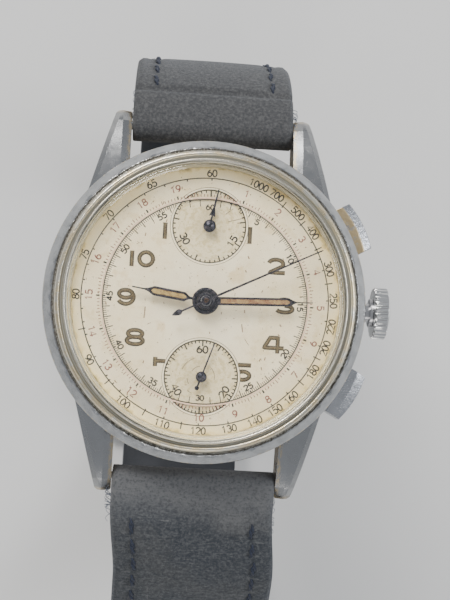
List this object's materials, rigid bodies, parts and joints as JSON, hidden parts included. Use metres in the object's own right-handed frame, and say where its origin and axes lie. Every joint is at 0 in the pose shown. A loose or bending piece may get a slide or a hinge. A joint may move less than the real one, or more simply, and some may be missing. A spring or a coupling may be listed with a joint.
{
  "type": "mechanical chronograph wristwatch",
  "caption": "Hand-wound stopwatch wristwatch: round steel case, crown and push-pieces, dial with sub-dials, inner movement, buckled suede strap.",
  "frame": {"origin": "on the dial axis, in the plane the buckled strap loop stands on", "axes": "+X to the crown at 3 o'clock, +Y to 12 o'clock, +Z out of the dial"},
  "size_m": [0.0395, 0.0715, 0.0551],
  "materials": {
    "case_steel": "worn polished plating over brass",
    "back_steel": "lightly brushed",
    "acrylic": "polished domed acrylic",
    "dial_face": "aged cream enamel paint",
    "steel": "polished and grained steel",
    "blued_steel": "dark blued steel",
    "lume": "aged luminous compound, matt",
    "gilt_brass": "gilt",
    "gilt_plate": "frosted gilt",
    "spring_steel": "spring temper",
    "ruby": "polished synthetic ruby",
    "suede": "grey-blue suede"
  },
  "bodies": {
    "case": {"mid_case": "case_steel", "bezel": "case_steel", "crystal": "acrylic", "case_back": "back_steel", "dial": "dial_face", "crown_tube": "case_steel", "pusher_tubes": "case_steel", "hairspring": "spring_steel", "main_plate": "gilt_plate", "barrel_bridge": "gilt_plate", "train_bridge": "gilt_plate", "pallet_bridge": "gilt_plate", "balance_cock": "gilt_plate", "chronograph_bridge": "gilt_plate", "jewels": "ruby", "movement_screws": "steel", "strap_short": "suede", "strap_long": "suede", "fixed_keeper": "suede", "spring_bar_top": "steel", "spring_bar_bottom": "steel"},
    "seconds": {"fourth_wheel": "gilt_brass", "small_seconds_hand": "blued_steel"},
    "third": {"third_wheel": "gilt_brass"},
    "minutes": {"centre_wheel": "gilt_brass", "cannon_pinion": "steel", "minute_hand": "blued_steel", "minute_hand_lume": "lume"},
    "hours": {"hour_wheel": "gilt_brass", "hour_hand": "blued_steel", "hour_hand_lume": "lume"},
    "motion_wheel": {"minute_wheel": "gilt_brass"},
    "escape": {"escape_wheel": "steel"},
    "pallets": {"pallet_fork": "steel"},
    "balance_wheel": {"balance": "gilt_brass"},
    "going_barrel": {"barrel": "gilt_brass", "mainspring": "spring_steel"},
    "ratchet": {"ratchet_wheel": "steel"},
    "crown_gear": {"crown_wheel": "steel"},
    "click_arm": {"click": "steel"},
    "winding": {"winding_pinion": "steel"},
    "crown_stem": {"crown": "case_steel", "winding_stem": "steel"},
    "clutch": {"sliding_pinion": "steel"},
    "start_button": {"start_pusher": "case_steel"},
    "reset_button": {"reset_pusher": "case_steel"},
    "operating": {"operating_lever": "steel"},
    "column": {"column_wheel": "steel"},
    "hammer": {"reset_hammer": "steel"},
    "chrono_seconds": {"chrono_runner": "gilt_brass", "chrono_seconds_hand": "blued_steel"},
    "counter": {"minute_runner": "gilt_brass", "minute_counter_hand": "blued_steel"},
    "counter_idler": {"minute_idler": "gilt_brass"},
    "keeper": {"free_keeper": "suede"},
    "buckle": {"buckle_frame": "case_steel", "buckle_pin": "steel"},
    "tongue": {"buckle_tongue": "case_steel"}
  },
  "joints": [
    {"name": "running_seconds_turn", "type": "hinge", "parent": "case", "child": "seconds", "pos_m": [0, -0.0084, 0.0467], "axis": [0, 0, -1], "continuous": true},
    {"name": "third_wheel_turn", "type": "hinge", "parent": "case", "child": "third", "pos_m": [-0.00196, -0.0048, 0.0467], "axis": [0, 0, -1], "continuous": true},
    {"name": "minute_hand_turn", "type": "hinge", "parent": "case", "child": "minutes", "pos_m": [0, 0, 0.0467], "axis": [0, 0, -1], "continuous": true},
    {"name": "hour_hand_turn", "type": "hinge", "parent": "case", "child": "hours", "pos_m": [0, 0, 0.0467], "axis": [0, 0, -1], "continuous": true},
    {"name": "minute_wheel_turn", "type": "hinge", "parent": "case", "child": "motion_wheel", "pos_m": [0.00235, 0.0019, 0.0467], "axis": [0, 0, -1], "continuous": true},
    {"name": "escape_wheel_turn", "type": "hinge", "parent": "case", "child": "escape", "pos_m": [-0.00363, -0.00937, 0.0467], "axis": [0, 0, -1], "continuous": true},
    {"name": "barrel_turn", "type": "hinge", "parent": "case", "child": "going_barrel", "pos_m": [0.0056, 0.004, 0.0467], "axis": [0, 0, -1], "continuous": true},
    {"name": "pallet_fork_swing", "type": "hinge", "parent": "case", "child": "pallets", "pos_m": [-0.00565, -0.00816, 0.0467], "axis": [0, 0, 1], "range_deg": [-4, 4]},
    {"name": "balance_swing", "type": "hinge", "parent": "case", "child": "balance_wheel", "pos_m": [-0.0086, -0.0064, 0.0467], "axis": [0, 0, 1], "range_deg": [-30, 30]},
    {"name": "crown_turn", "type": "hinge", "parent": "case", "child": "winding", "pos_m": [0.0125, 0, 0.047], "axis": [1, 0, 0], "continuous": true},
    {"name": "crown_pull", "type": "slide", "parent": "winding", "child": "crown_stem", "axis": [1, 0, 0], "range_m": [0, 0.0008]},
    {"name": "sliding_pinion_slide", "type": "slide", "parent": "winding", "child": "clutch", "axis": [1, 0, 0], "range_m": [-0.0002, 0]},
    {"name": "crown_wheel_turn", "type": "hinge", "parent": "case", "child": "crown_gear", "pos_m": [0.0109, 0.0006, 0.0467], "axis": [0, 0, 1], "continuous": true},
    {"name": "ratchet_turn", "type": "hinge", "parent": "case", "child": "ratchet", "pos_m": [0.0056, 0.004, 0.0467], "axis": [0, 0, 1], "continuous": true},
    {"name": "click_swing", "type": "hinge", "parent": "case", "child": "click_arm", "pos_m": [0.0089, 0.0086, 0.0467], "axis": [0, 0, 1], "range_deg": [0, 12]},
    {"name": "start_press", "type": "slide", "parent": "case", "child": "start_button", "axis": [-0.8704, -0.4924, 0], "range_m": [0, 0.0005], "stiffness_N_per_m": 4000},
    {"name": "operating_lever_swing", "type": "hinge", "parent": "case", "child": "operating", "pos_m": [0.0139, -0.0019, 0.0467], "axis": [0, 0, 1], "range_deg": [0, 2.9]},
    {"name": "column_wheel_turn", "type": "hinge", "parent": "case", "child": "column", "pos_m": [0.006, -0.0106, 0.0467], "axis": [0, 0, 1], "range_deg": [0, 30]},
    {"name": "reset_press", "type": "slide", "parent": "case", "child": "reset_button", "axis": [-0.8704, 0.4924, 0], "range_m": [0, 0.0005], "stiffness_N_per_m": 4000},
    {"name": "reset_hammer_swing", "type": "hinge", "parent": "case", "child": "hammer", "pos_m": [0.0102, -0.0104, 0.0467], "axis": [0, 0, 1], "range_deg": [0, 6.5]},
    {"name": "chrono_seconds_turn", "type": "hinge", "parent": "case", "child": "chrono_seconds", "pos_m": [0, 0, 0.0467], "axis": [0, 0, -1], "continuous": true},
    {"name": "minute_counter_turn", "type": "hinge", "parent": "case", "child": "counter", "pos_m": [0, 0.0084, 0.0467], "axis": [0, 0, -1], "continuous": true},
    {"name": "counter_idler_turn", "type": "hinge", "parent": "case", "child": "counter_idler", "pos_m": [0, 0.00455, 0.0467], "axis": [0, 0, -1], "continuous": true},
    {"name": "free_keeper_slide", "type": "slide", "parent": "case", "child": "keeper", "axis": [0, 1, 0], "range_m": [-0.0032, 0.002]},
    {"name": "buckle_frame_tilt", "type": "hinge", "parent": "case", "child": "buckle", "pos_m": [0, -0.009, 0.00425], "axis": [1, 0, 0], "range_deg": [0, 2]},
    {"name": "tongue_lift", "type": "hinge", "parent": "buckle", "child": "tongue", "pos_m": [0, -0.009, 0.00425], "axis": [1, 0, 0], "range_deg": [0, 3]}
  ],
  "couplings": [
    {"joint": "minute_hand_turn", "follows": "running_seconds_turn", "ratio": 0.016667},
    {"joint": "hour_hand_turn", "follows": "running_seconds_turn", "ratio": 0.0013889},
    {"joint": "third_wheel_turn", "follows": "running_seconds_turn", "ratio": -0.13333},
    {"joint": "minute_wheel_turn", "follows": "running_seconds_turn", "ratio": -0.0055556},
    {"joint": "escape_wheel_turn", "follows": "running_seconds_turn", "ratio": -10},
    {"joint": "barrel_turn", "follows": "running_seconds_turn", "ratio": -0.0025641},
    {"joint": "sliding_pinion_slide", "follows": "crown_pull", "ratio": -0.25},
    {"joint": "crown_wheel_turn", "follows": "crown_turn", "ratio": 0.5},
    {"joint": "ratchet_turn", "follows": "crown_turn", "ratio": -0.2963},
    {"joint": "operating_lever_swing", "follows": "start_press", "rad_per_m": 97.738},
    {"joint": "column_wheel_turn", "follows": "start_press", "rad_per_m": 1043.7},
    {"joint": "reset_hammer_swing", "follows": "reset_press", "rad_per_m": 223.4},
    {"joint": "minute_counter_turn", "follows": "chrono_seconds_turn", "ratio": 0.022222},
    {"joint": "counter_idler_turn", "follows": "chrono_seconds_turn", "ratio": -0.05},
    {"joint": "pallet_fork_swing", "follows": "balance_swing", "ratio": -0.1267}
  ]
}
